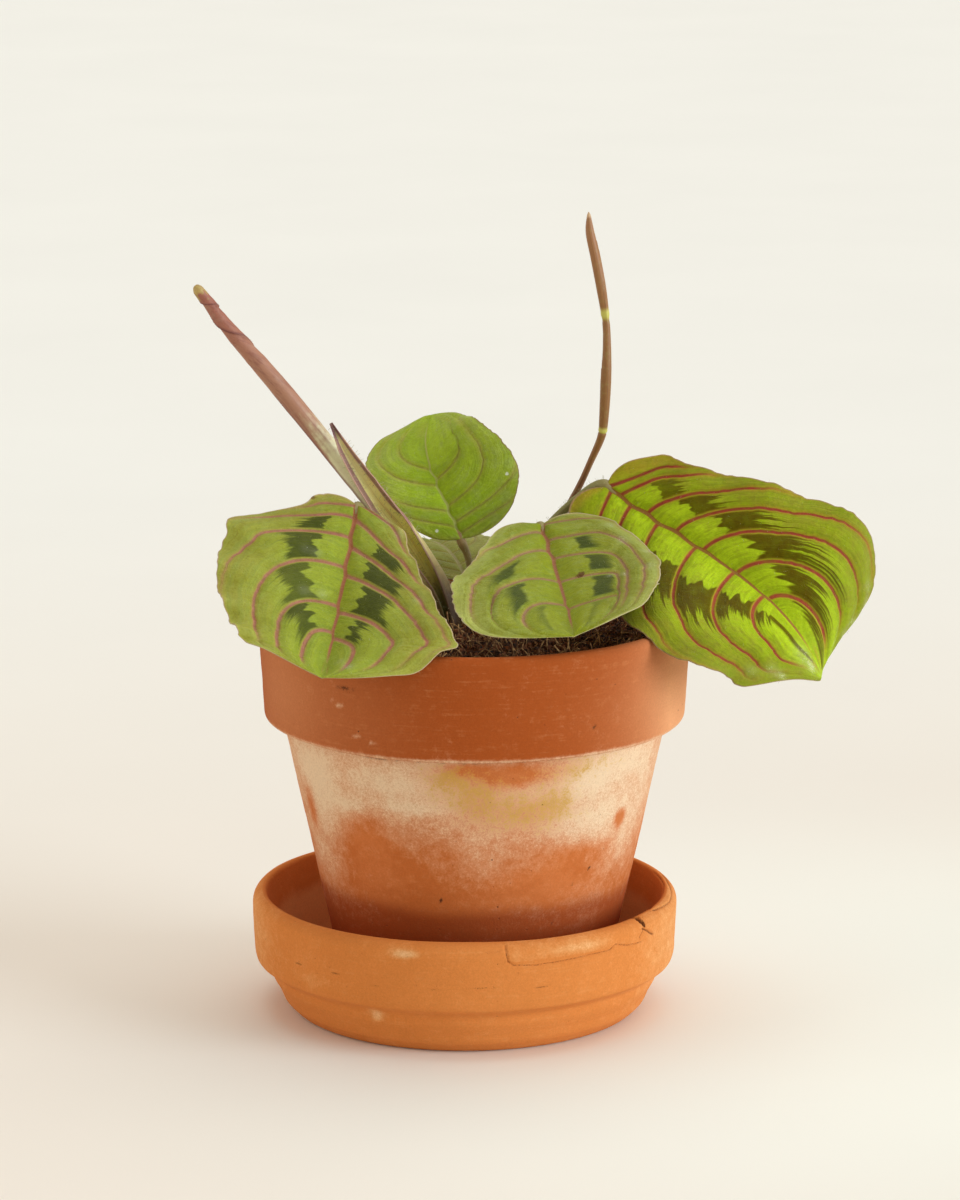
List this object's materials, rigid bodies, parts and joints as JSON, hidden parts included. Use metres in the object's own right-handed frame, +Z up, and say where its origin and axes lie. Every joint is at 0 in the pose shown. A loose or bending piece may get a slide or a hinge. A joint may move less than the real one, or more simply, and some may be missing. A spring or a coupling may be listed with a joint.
{
  "type": "potted prayer plant",
  "caption": "Low prayer plant with wavy patterned leaves, a rolled young leaf and a slim flower stem, in soil in a clay pot that stands on a clay saucer.",
  "frame": {"origin": "centre of the saucer's flat underside", "axes": "+Z up along the tallest extent, from the saucer to the flower stem's tip; -Y is the front; +X is the right, where the largest leaf hangs"},
  "size_m": [0.2039, 0.1404, 0.2412],
  "materials": {
    "saucer_clay": "matte",
    "pot_clay": "matte",
    "peat": "matte",
    "muted_leaf": "satin",
    "bright_leaf": "satin",
    "plain_leaf": "satin",
    "grey_leaf": "satin",
    "stalk": "satin",
    "young_leaf": "satin",
    "sheath": "satin",
    "flower_stem": "satin"
  },
  "bodies": {
    "root": {"saucer": "saucer_clay", "pot": "pot_clay", "soil": "peat", "left_leaf": "muted_leaf", "middle_leaf": "muted_leaf", "right_leaf": "bright_leaf", "back_leaf": "plain_leaf", "low_leaf": "grey_leaf", "left_stalk": "stalk", "middle_stalk": "stalk", "right_stalk": "stalk", "back_stalk": "stalk", "low_stalk": "stalk", "rolled_leaf": "young_leaf", "sheath": "sheath", "flower_stem": "flower_stem"}
  },
  "joints": []
}
